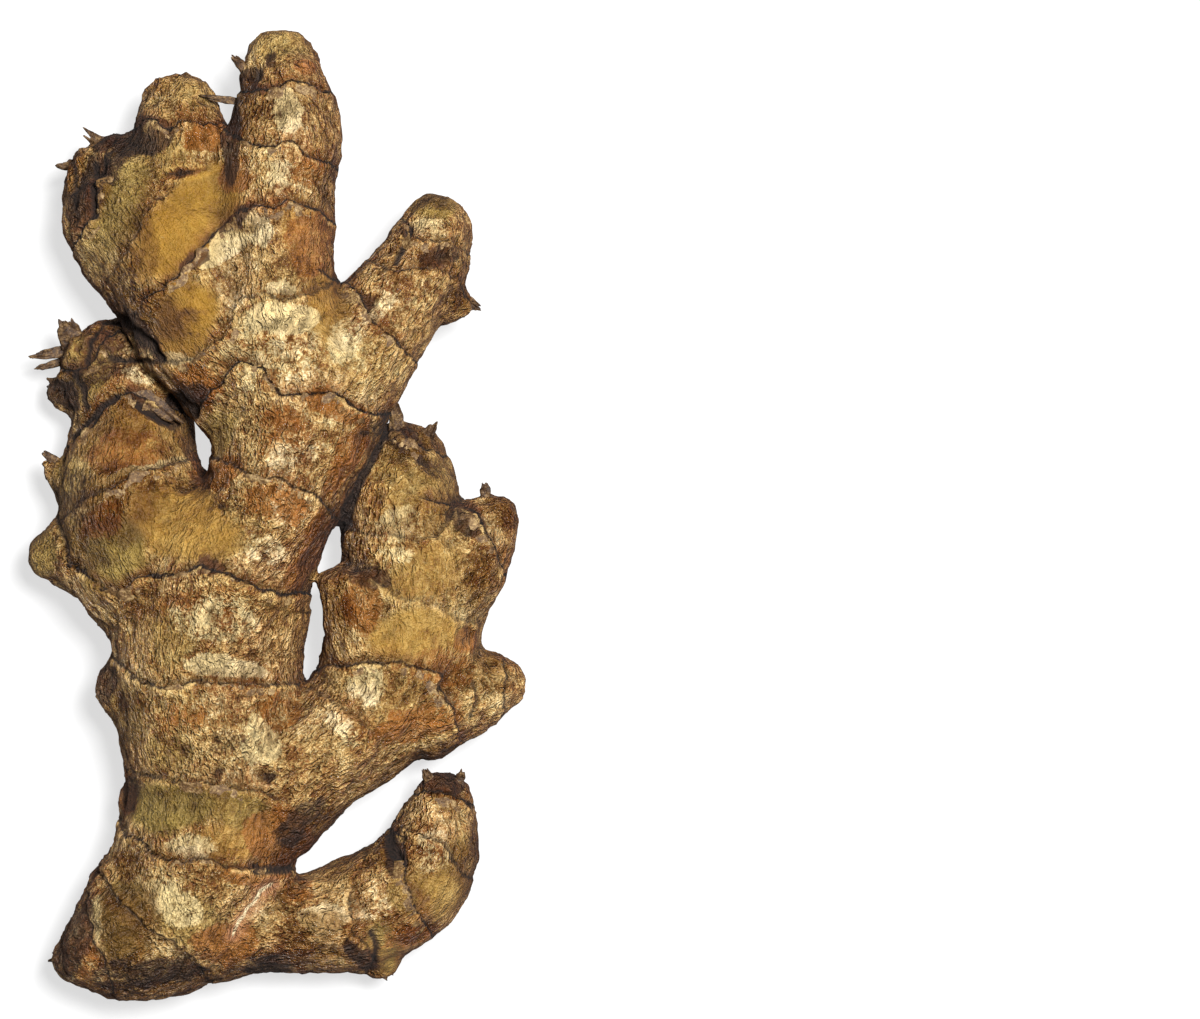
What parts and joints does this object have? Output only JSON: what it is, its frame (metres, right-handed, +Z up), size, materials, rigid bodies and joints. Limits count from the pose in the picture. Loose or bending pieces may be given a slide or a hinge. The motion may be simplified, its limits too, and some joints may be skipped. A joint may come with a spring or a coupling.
{
  "type": "ginger root",
  "caption": "Whole hand of fresh ginger lying flat: a thick knobbly trunk with rounded fingers and buds branching to both sides.",
  "frame": {"origin": "centre of the bounding box's bottom face, on the surface that the root lies on", "axes": "+Y along the root's length, from the blunt end lobe to the longest finger; +Z up from the surface; +X across, to the side with the two-pronged branch"},
  "size_m": [0.0832, 0.1614, 0.0338],
  "materials": {
    "ginger_skin": "thin dry tan skin, satin on the wrinkled stretches and matt on the papery ones"
  },
  "bodies": {
    "root": {"ginger_root": "ginger_skin"}
  },
  "joints": []
}
